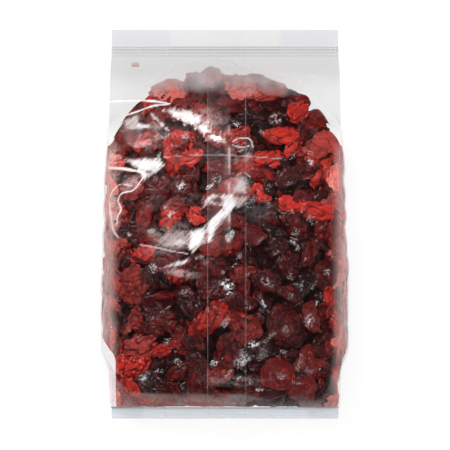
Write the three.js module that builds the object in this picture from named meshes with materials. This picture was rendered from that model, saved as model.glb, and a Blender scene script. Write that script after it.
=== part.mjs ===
// A clear gusseted bag of dried red berries, lying on its back panel with the lap seam side up.
// Millimetres. X runs across the bag, Y from the bottom seal to the header, Z up from the table.
// The film and what it holds are one solid: its skin is the film, drawn over the berries behind it.

import * as THREE from "three";

// Driving sizes
const FACE_WIDTH = 102; // front panel, crease to crease
const BAG_LENGTH = 175;
const GUSSET_DEPTH = 26.5; // how far a side gusset folds in where it is flat
const WIDEST = 111.4; // across the swollen gussets
const CROWN_HEIGHT = 42; // top of the fill above the table
const HEADER_FLAP = 7.4; // plain film above the top seal
const TOP_SEAL = 4.7;
const BOTTOM_SEAL = 5;
const BERRY_LENGTH = 15;
const BERRY_NARROW = 0.72; // a berry's width as a share of its length
const SMALL_BERRY = 0.8; // sizes run from this to LARGE_BERRY times the length above
const LARGE_BERRY = 1.2;
const BERRY_SPACING = 9; // least distance between the middles of two berries behind the film

// Flat ends
const PLATE = 0.9; // both panels pressed together
const GUSSET_STEP = 0.3; // the folded gussets thicken the sides of a flat end
const SEAL_HEIGHT = 13; // the seals above the table
const HEADER_DROOP = 2.5;
const TAIL_DROOP = 1;
const RIB = 0.25;
const TOP_RIBS = 3;
const BOTTOM_RIBS = 2;

// Filled body
const CREASE_WIDTH = 51.4; // half the distance between the front creases where the gussets bulge past them
const CROWN_DROP = 4; // the crown is lower towards the header
const CROWN_DROP_FROM = -30;
const CROWN_DROP_RUN = 70;
const CROWN_FALL = 2.6; // exponent of the front panel's fall from the crown to its creases
const FLAT_BACK = 6; // exponent of the back panel's rise to its creases
const FRONT_CREASE_HEIGHT = 31;
const MIDDLE_HEIGHT = 16;
const BACK_CREASE_HEIGHT = 5;
const BACK_PRESS = 0.8; // how far the back panel would sag below the table
const TOP_SHOULDER = 44;
const BOTTOM_SHOULDER = 15;
const BACK_TOP_SHOULDER = 30;
const BACK_BOTTOM_SHOULDER = 11;
const WEDGE = 1.9; // exponent of the thin wedge below the top seal
const BLUNT = 2.4; // exponent of the full end above the bottom seal
const TOP_POCKET = 33; // length of the gusset's folded triangle below the top seal
const BOTTOM_POCKET = 25;
const BOTTOM_POCKET_DEPTH = 14;
const POCKET_SLOPE = 4; // a pocket goes this much deeper than its wedge is thick
const SHUT_POCKET = 10; // no berry lies behind a pocket deeper than this
const SWELL_RISE = 100; // from the top seal down to the widest part
const SWELL_FALL = 28.5; // from the widest part to the bottom seal
const SWELL_BOW = 0.2; // the swelling starts this much faster than a straight taper
const SWELL_ROUND = 1.3; // exponent of the swelling above the bottom seal

// Heap of berries
const HEAP_TOP = 69.5; // on the centre line, from the bag's middle
const HEAP_SHOULDER_DROP = 36; // the heap is lower at the sides
const HEAP_ROUND = 2.8; // exponent of the heap's fall to its sides
const HEAP_BOTTOM = -81;
const HEAP_EDGE = 8; // the lumps fade in over this
const LUMP_LOW = 1.9;
const LUMP_HIGH = 3.7;
const LUMP_REACH = 0.72; // a lump's half length as a share of its berry's length
const SAG = 2.6; // the film sinks this far into a gap between berries
const LUMP_BLEND = 6; // exponent that rounds the valleys between lumps

// Lap seam down the front panel
const SEAM_LEFT = -7.7;
const SEAM_RIGHT = 9.2;
const SEAM_STEP = 0.35;
const STEP_RUN = 0.3;

// Mesh
const FRONT_CELL = 3.2;
const BACK_CELL = 6.4;
const GUSSET_CELLS = 8;
const BODY_CELL = 3.2;
const HUG = [0.6, 1.4, 2.3]; // closer stations where the film turns up steeply from the bottom seal
const NORMAL_STEP = 0.05; // along the loop, to find the direction out of the skin
const SEED = 2027;
const DARTS = 9000;

const TOP = BAG_LENGTH / 2;
const BOTTOM = -TOP;
const SEAL_UP = TOP - HEADER_FLAP; // upper edge of the top seal
const BODY_UP = SEAL_UP - TOP_SEAL;
const BODY_LOW = BOTTOM + BOTTOM_SEAL;
const HALF_FACE = FACE_WIDTH / 2;
const PERIMETER = 2 * FACE_WIDTH + 4 * GUSSET_DEPTH;
const GUSSET_MIDDLE = HALF_FACE + GUSSET_DEPTH; // the gusset's own crease, along the loop
const BACK_START = HALF_FACE + 2 * GUSSET_DEPTH;

const clamp01 = (t) => Math.min(1, Math.max(0, t));
const mix = (a, b, t) => a + (b - a) * t;
const smooth = (t) => {
  const c = clamp01(t);
  return c * c * (3 - 2 * c);
};

// Repeatable random numbers between 0 and 1.
function randomNumbers(seed) {
  const modulus = 2147483647;
  let state = seed;
  return () => {
    state = (state * 16807) % modulus;
    return state / modulus;
  };
}

// Rounded rise from 0 at a seal to 1 at the end of a shoulder: a wedge at the top, blunt at the bottom.
const wedge = (t) => 1 - Math.pow(1 - clamp01(t), WEDGE);
const blunt = (t) => Math.pow(1 - Math.pow(1 - clamp01(t), BLUNT), 1 / BLUNT);

// How far the sides have swollen out, from 0 at the seals to 1 at the widest part.
function swell(y) {
  const down = clamp01((BODY_UP - y) / SWELL_RISE);
  const up = clamp01((y - BODY_LOW) / SWELL_FALL);
  const bowed = down * (1 + SWELL_BOW * (1 - down));
  return bowed * Math.pow(Math.sin((Math.PI / 2) * up), SWELL_ROUND);
}

// Mid-height of the pressed plate at the seals, which droops towards its free ends.
function plateHeight(y) {
  if (y > BODY_UP) return SEAL_HEIGHT - (HEADER_DROOP * (y - BODY_UP)) / (TOP - BODY_UP);
  if (y < BODY_LOW) return SEAL_HEIGHT - (TAIL_DROOP * (BODY_LOW - y)) / (BODY_LOW - BOTTOM);
  return SEAL_HEIGHT;
}

// Depth of the inward gusset fold at a station, where the wedge between crease and middle has this thickness.
function pocketDepth(y, wedgeThickness) {
  const room = POCKET_SLOPE * Math.max(0, wedgeThickness - PLATE / 2);
  const top = GUSSET_DEPTH * (1 - (BODY_UP - y) / TOP_POCKET);
  const bottom = BOTTOM_POCKET_DEPTH * (1 - (y - BODY_LOW) / BOTTOM_POCKET);
  return Math.max(0, Math.min(room, Math.max(top, bottom)));
}

// Everything that the loop around the bag needs at one station.
function levelsAt(y) {
  const plate = plateHeight(y);
  const front = wedge((BODY_UP - y) / TOP_SHOULDER) * blunt((y - BODY_LOW) / BOTTOM_SHOULDER);
  const back = wedge((BODY_UP - y) / BACK_TOP_SHOULDER) * blunt((y - BODY_LOW) / BACK_BOTTOM_SHOULDER);
  const crown = CROWN_HEIGHT - CROWN_DROP * smooth((y - CROWN_DROP_FROM) / CROWN_DROP_RUN);
  const halfPlate = PLATE / 2;
  const frontCrease = mix(plate + halfPlate, FRONT_CREASE_HEIGHT, front);
  const middle = mix(plate, MIDDLE_HEIGHT, front);
  const silhouette = HALF_FACE + (WIDEST / 2 - HALF_FACE) * swell(y);
  const crease = Math.min(silhouette, CREASE_WIDTH);
  return {
    front: mix(plate + halfPlate, crown, front),
    frontCrease,
    middle,
    backCrease: mix(plate - halfPlate, BACK_CREASE_HEIGHT, back),
    back: mix(plate - halfPlate, -BACK_PRESS, back),
    crease,
    bulge: silhouette - crease,
    pocket: pocketDepth(y, frontCrease - middle),
    filled: front,
  };
}

// A point of the loop at distance s along the film from the front's middle line, before any relief.
function loopPoint(s, y, level) {
  if (s <= HALF_FACE && s >= -HALF_FACE) {
    const across = s / HALF_FACE;
    const drop = Math.pow(Math.abs(across), CROWN_FALL);
    return [level.crease * across, mix(level.front, level.frontCrease, drop)];
  }
  if (s > BACK_START || s < -BACK_START) {
    const fromCrease = s > 0 ? s - BACK_START : s + PERIMETER - BACK_START;
    const across = 1 - fromCrease / HALF_FACE;
    const rise = Math.pow(Math.abs(across), FLAT_BACK);
    return [level.crease * across, mix(level.back, level.backCrease, rise)];
  }
  const side = Math.sign(s);
  const t = (Math.abs(s) - GUSSET_MIDDLE) / GUSSET_DEPTH;
  const x = level.crease + level.bulge * (1 - t * t) - level.pocket * (1 - Math.abs(t));
  const z = t < 0 ? mix(level.middle, level.frontCrease, -t) : mix(level.middle, level.backCrease, t);
  return [side * x, z];
}

// Top of the heap behind the film at distance s along the loop.
function heapTop(s) {
  const around = Math.abs(s) > PERIMETER / 2 ? PERIMETER - Math.abs(s) : Math.abs(s);
  const across = around > PERIMETER / 4 ? PERIMETER / 2 - around : around;
  return HEAP_TOP - HEAP_SHOULDER_DROP * Math.pow(Math.min(1, across / HALF_FACE), HEAP_ROUND);
}

const wrapped = (ds) => ds - PERIMETER * Math.round(ds / PERIMETER);

// Places of the berries that press against the film, scattered no closer than BERRY_SPACING.
function berryPlaces() {
  const random = randomNumbers(SEED);
  const places = [];
  for (let dart = 0; dart < DARTS; dart++) {
    const s = PERIMETER * (random() - 0.5);
    const y = mix(HEAP_BOTTOM, HEAP_TOP, random());
    const turn = Math.PI * random();
    const size = mix(SMALL_BERRY, LARGE_BERRY, random());
    const lump = mix(LUMP_LOW, LUMP_HIGH, random());
    const inHeap = y < heapTop(s);
    const clear = places.every((p) => Math.hypot(wrapped(p.s - s), p.y - y) > BERRY_SPACING);
    if (inHeap && clear) places.push({ s, y, turn, size, lump });
  }
  return places;
}

const BERRIES = berryPlaces();

// How far the berries push the film out at a point of the unrolled skin.
function lumpHeight(s, y) {
  let total = 0;
  for (const berry of BERRIES) {
    const ds = wrapped(s - berry.s);
    const dy = y - berry.y;
    if (Math.abs(ds) > BERRY_LENGTH || Math.abs(dy) > BERRY_LENGTH) continue;
    const along = ds * Math.cos(berry.turn) + dy * Math.sin(berry.turn);
    const across = dy * Math.cos(berry.turn) - ds * Math.sin(berry.turn);
    const reach = LUMP_REACH * BERRY_LENGTH * berry.size;
    const distance2 = (along / reach) ** 2 + (across / (BERRY_NARROW * reach)) ** 2;
    if (distance2 < 1) total += Math.pow(berry.lump * (1 - distance2), LUMP_BLEND);
  }
  const onBack = Math.abs(s) > BACK_START;
  const edges = smooth((heapTop(s) + HEAP_EDGE - y) / HEAP_EDGE) * smooth((y - HEAP_BOTTOM) / HEAP_EDGE);
  return (Math.pow(total, 1 / LUMP_BLEND) - (onBack ? 0 : SAG)) * edges;
}

// Ribs pressed into the seals, as a triangle wave.
function ribHeight(y) {
  const wave = (t, ribs) => RIB * (1 - Math.abs(2 * ((t * ribs) % 1) - 1));
  if (y > BODY_UP && y < SEAL_UP) return wave((y - BODY_UP) / TOP_SEAL, TOP_RIBS);
  if (y > BOTTOM && y < BODY_LOW) return wave((y - BOTTOM) / BOTTOM_SEAL, BOTTOM_RIBS);
  return 0;
}

// Thickness that the lap seam and the folded gussets add to the front panel.
function layerHeight(s, y) {
  const seam = s > SEAM_LEFT && s < SEAM_RIGHT ? SEAM_STEP : 0;
  const flatEnd = y >= BODY_UP || y <= BODY_LOW;
  const folded = flatEnd && Math.abs(s) > HALF_FACE - GUSSET_DEPTH ? GUSSET_STEP : 0;
  return seam + folded;
}

// A point of the finished skin.
function skinPoint(s, y) {
  const level = levelsAt(y);
  const [x, z] = loopPoint(s, y, level);
  const [xBefore, zBefore] = loopPoint(s - NORMAL_STEP, y, level);
  const [xAfter, zAfter] = loopPoint(s + NORMAL_STEP, y, level);
  const length = Math.hypot(xAfter - xBefore, zAfter - zBefore);
  const out = [(zBefore - zAfter) / length, (xAfter - xBefore) / length];
  const shut = 1 - clamp01(level.pocket / SHUT_POCKET);
  const onGusset = Math.abs(s) > HALF_FACE && Math.abs(s) < BACK_START;
  const relief = lumpHeight(s, y) * level.filled * (onGusset ? shut : 1);
  const onFront = Math.abs(s) < HALF_FACE;
  const flat = onFront ? layerHeight(s, y) + ribHeight(y) : 0;
  return new THREE.Vector3(x + out[0] * relief, y, Math.max(0, z + out[1] * relief + flat));
}

const evenly = (from, to, cells) => Array.from({ length: cells }, (_, i) => mix(from, to, i / cells));

// Distances along the loop at which the skin has a column of vertices, once round.
function loopColumns() {
  const steps = [-HALF_FACE + GUSSET_DEPTH, SEAM_LEFT, SEAM_RIGHT, HALF_FACE - GUSSET_DEPTH];
  const ends = [-HALF_FACE, ...steps, HALF_FACE];
  const front = [];
  for (let i = 0; i + 1 < ends.length; i++) {
    const from = i ? ends[i] + STEP_RUN / 2 : ends[i];
    const to = i + 2 < ends.length ? ends[i + 1] - STEP_RUN / 2 : ends[i + 1];
    front.push(...evenly(from, to, Math.round((to - from) / FRONT_CELL)));
    if (i + 2 < ends.length) front.push(to);
  }
  const right = evenly(HALF_FACE, BACK_START, GUSSET_CELLS);
  const back = evenly(BACK_START, BACK_START + FACE_WIDTH, Math.round(FACE_WIDTH / BACK_CELL));
  const left = evenly(-BACK_START, -HALF_FACE, GUSSET_CELLS);
  return [...front, ...right, ...back.map((s) => (s > PERIMETER / 2 ? s - PERIMETER : s)), ...left];
}

// Stations from the bottom edge to the top edge.
function stations() {
  const bodyCells = Math.round((BODY_UP - BODY_LOW) / BODY_CELL);
  return [
    ...evenly(BOTTOM, BODY_LOW, 2 * BOTTOM_RIBS),
    BODY_LOW,
    ...HUG.map((distance) => BODY_LOW + distance),
    ...evenly(BODY_LOW, BODY_UP, bodyCells).slice(1),
    ...evenly(BODY_UP, SEAL_UP, 2 * TOP_RIBS),
    SEAL_UP,
    TOP,
  ];
}

// The closed skin: a tube of loops with a flat fan at each end.
function skinGeometry() {
  const columns = loopColumns();
  const rows = stations();
  const count = columns.length;
  const positions = rows.flatMap((y) => columns.flatMap((s) => skinPoint(s, y).toArray()));
  const faces = [];
  for (let row = 0; row + 1 < rows.length; row++) {
    for (let i = 0; i < count; i++) {
      const next = (i + 1) % count;
      const [a, b] = [row * count + i, row * count + next];
      faces.push(a, b, b + count, a, b + count, a + count);
    }
  }
  for (const [row, turned] of [[0, true], [rows.length - 1, false]]) {
    const centre = positions.length / 3;
    positions.push(0, rows[row], plateHeight(rows[row]));
    for (let i = 0; i < count; i++) {
      const edge = [row * count + i, row * count + ((i + 1) % count)];
      faces.push(centre, ...(turned ? edge.reverse() : edge));
    }
  }
  const geometry = new THREE.BufferGeometry();
  geometry.setAttribute("position", new THREE.Float32BufferAttribute(positions, 3));
  geometry.setIndex(faces);
  geometry.computeVertexNormals();
  return geometry;
}

const clearFilmOverBerries = new THREE.MeshStandardMaterial({ color: 0x6d2222, roughness: 0.25, metalness: 0 });

const bag = new THREE.Mesh(skinGeometry(), clearFilmOverBerries);
bag.name = "bag";

const group = new THREE.Group();
group.add(bag);

export default group;
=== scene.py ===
"""A clear side-gusseted bag of dried red berries, lying on its back panel with the lap seam up.

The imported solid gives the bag's outer form. Here its skin becomes clear film with folds, seals, a
lap seam and wrinkles, and wrinkled berries fill it. Sizes are in millimetres in the bag's own frame
and turn into metres where a mesh is made. X runs across the bag, Y from the bottom seal to the
header, Z up. A place on the film is given as s, the distance along the loop from the middle of the
front, and y.
"""
import math
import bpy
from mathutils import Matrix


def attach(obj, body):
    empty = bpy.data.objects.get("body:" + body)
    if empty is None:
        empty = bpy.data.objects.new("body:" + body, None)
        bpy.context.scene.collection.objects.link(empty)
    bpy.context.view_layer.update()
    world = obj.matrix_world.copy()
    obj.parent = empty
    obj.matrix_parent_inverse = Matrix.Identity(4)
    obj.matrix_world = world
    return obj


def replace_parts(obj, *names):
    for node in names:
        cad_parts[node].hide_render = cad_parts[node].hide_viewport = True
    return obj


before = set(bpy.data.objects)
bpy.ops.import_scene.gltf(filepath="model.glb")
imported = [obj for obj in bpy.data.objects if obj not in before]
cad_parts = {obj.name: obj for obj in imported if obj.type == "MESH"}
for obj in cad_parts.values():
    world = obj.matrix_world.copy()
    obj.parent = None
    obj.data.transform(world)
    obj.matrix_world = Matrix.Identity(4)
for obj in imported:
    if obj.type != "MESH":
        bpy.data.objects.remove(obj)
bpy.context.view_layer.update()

from types import SimpleNamespace

import bmesh
import bpy
import numpy as np
from mathutils import Vector, noise

MM = 0.001

# The bag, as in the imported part
FACE_WIDTH = 102
BAG_LENGTH = 175
GUSSET_DEPTH = 26.5
WIDEST = 111.4
CROWN_HEIGHT = 42
HEADER_FLAP = 7.4
TOP_SEAL = 4.7
BOTTOM_SEAL = 5
BERRY_LENGTH = 15
BERRY_SPACING = 9
BERRY_NARROW = 0.72

# Flat ends
FILM_PLATE = 0.3  # both panels pressed together, thinner than in the solid
SEAL_HEIGHT = 13
HEADER_DROOP = 2.5
TAIL_DROOP = 1
RIB = 0.16
TOP_RIBS = 3
BOTTOM_RIBS = 2

# Filled body
CREASE_WIDTH = 51.4
CROWN_DROP = 4  # how much lower the front lies towards the header
CROWN_DROP_START = -30
CROWN_DROP_LENGTH = 70
CROWN_FLATNESS = 2.6  # how flat the front stays towards its creases
BACK_FLATNESS = 6
FRONT_CREASE_HEIGHT = 31
MIDDLE_HEIGHT = 16
BACK_CREASE_HEIGHT = 5
BACK_PRESS = 0.8
TOP_SHOULDER = 44
BOTTOM_SHOULDER = 15
BACK_TOP_SHOULDER = 30
BACK_BOTTOM_SHOULDER = 11
TOP_POCKET = 33
BOTTOM_POCKET = 25
BOTTOM_POCKET_DEPTH = 14
POCKET_SLOPE = 4
SHUT_POCKET = 10  # depth of a gusset's pocket from which its film shows no lumps
WEDGE_ROUNDNESS = 1.9  # how fast the film opens out from the top seal
BLUNT_ROUNDNESS = 2.4  # how squarely it opens out from the bottom seal
SWELL_RISE = 100
SWELL_FALL = 28.5
SWELL_EARLY = 1.2  # how much steeper than a straight line the sides swell out below the top seal
SWELL_ROUNDNESS = 1.3

# Heap of berries
HEAP_TOP = 69.5
HEAP_SHOULDER_DROP = 36
HEAP_ROUNDNESS = 2.8
HEAP_DIP = 2.8  # how much lower the berries reach to the right of the lap seam
HEAP_DIP_START = 2
HEAP_DIP_END = 36
HEAP_BOTTOM = -81
HEAP_EDGE = 8
SMALL_BERRY = 0.8
LARGE_BERRY = 1.2
LUMP_LOW = 1.9
LUMP_HIGH = 3.7
SAG = 2.6
LUMP_BLEND = 6
LUMP_REACH = 0.72
SEED = 2027
DARTS = 9000

# Lap seam
SEAM_LEFT = -7.7
SEAM_RIGHT = 9.2
WELD_LEFT = -0.5
WELD_RIGHT = 2.7
WELD_LINE = 1.9  # where the weld shines most
SEAM_LIFT = 0.12
SEAM_EDGE = 0.25
SEAM_CELLS = (1, 14, 6, 12, 1)  # across its left edge, up to the weld, the weld, beyond it, its right edge

TOP = BAG_LENGTH / 2
BOTTOM = -TOP
SEAL_UP = TOP - HEADER_FLAP
BODY_UP = SEAL_UP - TOP_SEAL
BODY_LOW = BOTTOM + BOTTOM_SEAL
HALF_FACE = FACE_WIDTH / 2
PERIMETER = 2 * FACE_WIDTH + 4 * GUSSET_DEPTH
GUSSET_MIDDLE = HALF_FACE + GUSSET_DEPTH
BACK_START = HALF_FACE + 2 * GUSSET_DEPTH


def clamp01(t):
    return np.clip(t, 0.0, 1.0)


def mix(a, b, t):
    return a + (b - a) * t


def smooth(t):
    c = clamp01(t)
    return c * c * (3 - 2 * c)


def random_numbers(seed):
    """Repeatable random numbers between 0 and 1."""
    modulus = 2147483647
    state = seed
    while True:
        state = (state * 16807) % modulus
        yield state / modulus


def noise_values(points):
    """Smooth noise between about -1 and 1 at each of the points."""
    return np.array([noise.noise(Vector(p)) for p in points])


# The bag's form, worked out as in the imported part
def wedge(t):
    """Opens out from 0 to 1 quickly at first and then ever more slowly."""
    return 1 - (1 - clamp01(t)) ** WEDGE_ROUNDNESS


def blunt(t):
    """Opens out from 0 to 1 squarely, with a round corner."""
    return (1 - (1 - clamp01(t)) ** BLUNT_ROUNDNESS) ** (1 / BLUNT_ROUNDNESS)


def swell(y):
    """How far the sides have swelled out at y, from 0 to 1."""
    down = clamp01((BODY_UP - y) / SWELL_RISE)
    up = clamp01((y - BODY_LOW) / SWELL_FALL)
    early = SWELL_EARLY - (SWELL_EARLY - 1) * down
    return down * early * np.sin(math.pi / 2 * up) ** SWELL_ROUNDNESS


def plate_height(y):
    header = SEAL_HEIGHT - HEADER_DROOP * np.maximum(0, y - BODY_UP) / (TOP - BODY_UP)
    tail = TAIL_DROOP * np.maximum(0, BODY_LOW - y) / (BODY_LOW - BOTTOM)
    return header - tail


def pocket_depth(y, wedge_thickness):
    room = POCKET_SLOPE * np.maximum(0, wedge_thickness - FILM_PLATE / 2)
    top = GUSSET_DEPTH * (1 - (BODY_UP - y) / TOP_POCKET)
    bottom = BOTTOM_POCKET_DEPTH * (1 - (y - BODY_LOW) / BOTTOM_POCKET)
    inside = np.minimum(room, np.maximum(top, bottom))
    flat = np.where(y > 0, GUSSET_DEPTH, BOTTOM_POCKET_DEPTH)
    at_end = (y >= BODY_UP) | (y <= BODY_LOW)
    return np.maximum(0, np.where(at_end, flat, inside))


def levels_at(y):
    """Everything that the loop around the bag needs at the stations y."""
    plate = plate_height(y)
    front = wedge((BODY_UP - y) / TOP_SHOULDER) * blunt((y - BODY_LOW) / BOTTOM_SHOULDER)
    back = wedge((BODY_UP - y) / BACK_TOP_SHOULDER) * blunt((y - BODY_LOW) / BACK_BOTTOM_SHOULDER)
    crown = CROWN_HEIGHT - CROWN_DROP * smooth((y - CROWN_DROP_START) / CROWN_DROP_LENGTH)
    half_plate = FILM_PLATE / 2
    front_crease = mix(plate + half_plate, FRONT_CREASE_HEIGHT, front)
    middle = mix(plate, MIDDLE_HEIGHT, front)
    silhouette = HALF_FACE + (WIDEST / 2 - HALF_FACE) * swell(y)
    crease = np.minimum(silhouette, CREASE_WIDTH)
    return SimpleNamespace(
        front=mix(plate + half_plate, crown, front),
        front_crease=front_crease,
        middle=middle,
        back_crease=mix(plate - half_plate, BACK_CREASE_HEIGHT, back),
        back=mix(plate - half_plate, -BACK_PRESS, back),
        crease=crease,
        bulge=silhouette - crease,
        pocket=pocket_depth(y, front_crease - middle),
        filled=front,
    )


def loop_point(s, level):
    """Points of the loop at distances s, before any relief: x and z."""
    across = s / HALF_FACE
    front_x = level.crease * across
    front_z = mix(level.front, level.front_crease, np.abs(across) ** CROWN_FLATNESS)
    from_crease = np.where(s > 0, s - BACK_START, s + PERIMETER - BACK_START)
    back_across = 1 - from_crease / HALF_FACE
    back_x = level.crease * back_across
    back_z = mix(level.back, level.back_crease, np.abs(back_across) ** BACK_FLATNESS)
    t = np.clip((np.abs(s) - GUSSET_MIDDLE) / GUSSET_DEPTH, -1, 1)
    side_x = np.sign(s) * (level.crease + level.bulge * (1 - t * t) - level.pocket * (1 - np.abs(t)))
    toward = np.where(t < 0, level.front_crease, level.back_crease)
    side_z = mix(level.middle, toward, np.abs(t))
    on_front = np.abs(s) <= HALF_FACE
    on_back = np.abs(s) > BACK_START
    x = np.where(on_front, front_x, np.where(on_back, back_x, side_x))
    z = np.where(on_front, front_z, np.where(on_back, back_z, side_z))
    return x, z


def loop_frame(s, y):
    """Points of the loop with the direction out of it in the section, and the levels there."""
    level = levels_at(y)
    step = 0.05
    x, z = loop_point(s, level)
    x0, z0 = loop_point(s - step, level)
    x1, z1 = loop_point(s + step, level)
    length = np.maximum(np.hypot(x1 - x0, z1 - z0), 1e-9)
    return x, z, (z0 - z1) / length, (x1 - x0) / length, level


def wrapped(ds):
    return ds - PERIMETER * np.round(ds / PERIMETER)


def heap_top(s):
    around = np.where(np.abs(s) > PERIMETER / 2, PERIMETER - np.abs(s), np.abs(s))
    across = np.where(around > PERIMETER / 4, PERIMETER / 2 - around, around)
    return HEAP_TOP - HEAP_SHOULDER_DROP * np.minimum(1, across / HALF_FACE) ** HEAP_ROUNDNESS


def heap_limit(s):
    """How high the berries reach on the front."""
    return heap_top(s) - HEAP_DIP * smooth((s - HEAP_DIP_START) / 6) * smooth((HEAP_DIP_END - s) / 8)


def scatter(seed, darts, around, top_gap, spacing):
    """Places at least a spacing apart, by seeded darts: s, y and three more draws for each."""
    random = random_numbers(seed)
    places = []
    kept = np.zeros((0, 2))
    for dart in range(darts):
        s = around * (next(random) - 0.5)
        y = mix(HEAP_BOTTOM, HEAP_TOP - 2 * top_gap, next(random))
        draws = [next(random) for draw in range(3)]
        if y >= heap_top(s) - top_gap:
            continue
        if len(kept) and np.hypot(wrapped(kept[:, 0] - s), kept[:, 1] - y).min() <= spacing:
            continue
        places.append((s, y, *draws))
        kept = np.vstack([kept, (s, y)])
    return places


def berry_places():
    """Places of the berries that press against the film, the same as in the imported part."""
    return [
        SimpleNamespace(s=s, y=y, turn=math.pi * turn, size=mix(SMALL_BERRY, LARGE_BERRY, size),
                        lump=mix(LUMP_LOW, LUMP_HIGH, lump), kind=None, shape=None, under=0)
        for s, y, turn, size, lump in scatter(SEED, DARTS, PERIMETER, 0, BERRY_SPACING)
    ]


# Berries that stand out on the front: across and along the bag, length, turn in degrees, kind, shape
NOTED = (
    (-40.7, -26.7, 18, 60, "pulp", "slice"),
    (-18.9, -21.9, 15, 20, "bright", "fold"),
    (-7.2, -18.6, 16, 0, "maroon", "raisin"),
    (-7.2, -42, 21, 44, "bright", "tongue"),
    (6.8, -34.8, 14, -20, "red", "fold"),
    (9, -46, 15, 10, "pulp", "slice"),
    (26.1, -44.2, 18, -35, "red", "slice"),
    (23.4, -66.3, 17, -30, "bright", "slice"),
    (34.7, -60, 15, 65, "bright", "tongue"),
    (44.5, -22.6, 14, 60, "red", "slice"),
    (41.4, 6.2, 18, -8, "bright", "tongue"),
    (41.9, 27.3, 20, 70, "bright", "fold"),
    (28.8, 8.4, 12, -15, "bright", "fold"),
    (31, 34.5, 12, 45, "bright", "tongue"),
    (25.2, 40.5, 16, 3, "bright", "tongue"),
    (18.5, 28.2, 17, 5, "bright", "tongue"),
    (15.8, 13.8, 11, -45, "bright", "fold"),
    (-17.6, 33.6, 20, 5, "bright", "slice"),
    (-45, 37.2, 16, 30, "red", "fold"),
    (-12.2, 3.9, 11, -10, "bright", "fold"),
    (-23.9, 3.9, 13, 30, "bright", "fold"),
    (-5.4, -9, 13, 0, "red", "slice"),
    (-6.3, 66, 13, 80, "pale", "slice"),
    (-24.8, 60, 16, 10, "pale", "slice"),
    (19.4, 61.5, 18, 0, "pulp", "fold"),
    (3.2, 53.9, 18, 10, "red", "tongue"),
    (32.4, 51.2, 13, 60, "bright", "fold"),
    (-46.5, -62, 14, 80, "bright", "fold"),
    (-38.3, -55, 18, 20, "pulp", "fold"),
    (-42.9, -73, 13, -60, "bright", "fold"),
    (-32, -71.2, 17, -20, "dark", "raisin"),
    (-39.6, -42.4, 11, 90, "pulp", "fold"),
    (-29, -44, 16, 15, "maroon", "raisin"),
    (13, -56.5, 16, 20, "dark", "raisin"),
    (18, -24.9, 15, -20, "maroon", "raisin"),
    (-18.2, 18.3, 17, 40, "maroon", "raisin"),
    (-31.5, 14.3, 18, 30, "maroon", "raisin"),
    (-43.6, -1.5, 15, 0, "dark", "raisin"),
    (28, 21, 14, 10, "dark", "raisin"),
)
UNDER_NOTED = 1.4  # how much deeper the berries under them lie
NOTED_REACH = 0.6  # how far out a noted berry covers others, in its lengths


def note_berries(places):
    """Moves the nearest places to where the noted berries lie, and presses the others near under them."""
    free = [place for place in places if abs(place.s) < HALF_FACE]
    for x, y, length, turn, kind, shape in NOTED:
        place = min(free, key=lambda p: math.hypot(p.s - x, p.y - y))
        free.remove(place)
        place.s, place.y = x, y
        place.turn = math.radians(turn)
        place.size = length / BERRY_LENGTH
        place.kind, place.shape = kind, shape
    for place in free:
        for x, y, length, turn, kind, shape in NOTED:
            if math.hypot(place.s - x, place.y - y) < NOTED_REACH * length:
                place.under = UNDER_NOTED


def lump_height(s, y, berries):
    """How far the berries push the film out at points of the unrolled skin."""
    total = np.zeros_like(s)
    for berry in berries:
        ds = wrapped(s - berry.s)
        dy = y - berry.y
        near = (np.abs(ds) < BERRY_LENGTH) & (np.abs(dy) < BERRY_LENGTH)
        ds, dy = ds[near], dy[near]
        along = ds * math.cos(berry.turn) + dy * math.sin(berry.turn)
        across = dy * math.cos(berry.turn) - ds * math.sin(berry.turn)
        reach = LUMP_REACH * BERRY_LENGTH * berry.size
        rise = 1 - (along / reach) ** 2 - (across / (BERRY_NARROW * reach)) ** 2
        total[near] += (berry.lump * np.maximum(0, rise)) ** LUMP_BLEND
    sag = np.where(np.abs(s) > BACK_START, 0, SAG)
    edges = smooth((heap_top(s) + HEAP_EDGE - y) / HEAP_EDGE) * smooth((y - HEAP_BOTTOM) / HEAP_EDGE)
    raised = total ** (1 / LUMP_BLEND) - sag
    dips = smooth((heap_top(s) + 1 - y) / HEAP_EDGE)
    return np.where(raised < 0, raised * dips, raised) * edges


# Film
FRONT_CELL = 0.45
GUSSET_CELLS = 54  # an even count, so that the gusset's middle crease is a line of vertices
BACK_CELL = 1.6
BODY_CELL = 0.5
SEAL_CELL = 0.25
FLAP_CELL = 0.75
REST_GAP = 0.1  # the back panel's film above the table
TIGHT_RELIEF = 0.6  # of the lumps, where the film is drawn tight over the front
SIDE_RELIEF = 0.5
LOOSE_RELIEF = 0.3
LOOSE_CENTRE = (-24, 24)
LOOSE_REACH = (34, 40)
BROAD_CREASES = 24  # size of the shallow creases of the stiff film
FINE_CREASES = 9
CREASE_RIDGE = 0.25  # the film stands up where the noise is nearer to zero than this
CLING = 0.8  # how much of its gloss the film loses where berries lie close under it
CLING_ON_LUMPS = 0.14  # how much more it loses over the lumps

# Facets of the loose film, turned to the upper left: how grainy, how white the painted highlight fringe
# round each is, and corners clockwise
FACET_RISE = (0.2, -0.27)  # for each millimetre across and along the bag
FACET_LIFT = 0.3
FACET_RIM = 3.2  # width of the painted highlight fringe round a facet
FACETS = (
    (0.4, 0.85, ((-25.5, 50.4), (-17, 50.4), (-9, 46), (-12, 42.4), (-23, 47.4))),
    (0.3, 0.85, ((-13.5, 44.8), (-8.5, 44.8), (-6, 40.6), (-9, 39.6))),
    (0.2, 0.8, ((-8, 40), (-0.8, 39.2), (-0.8, 36.4), (-7, 37.4))),
)
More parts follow.
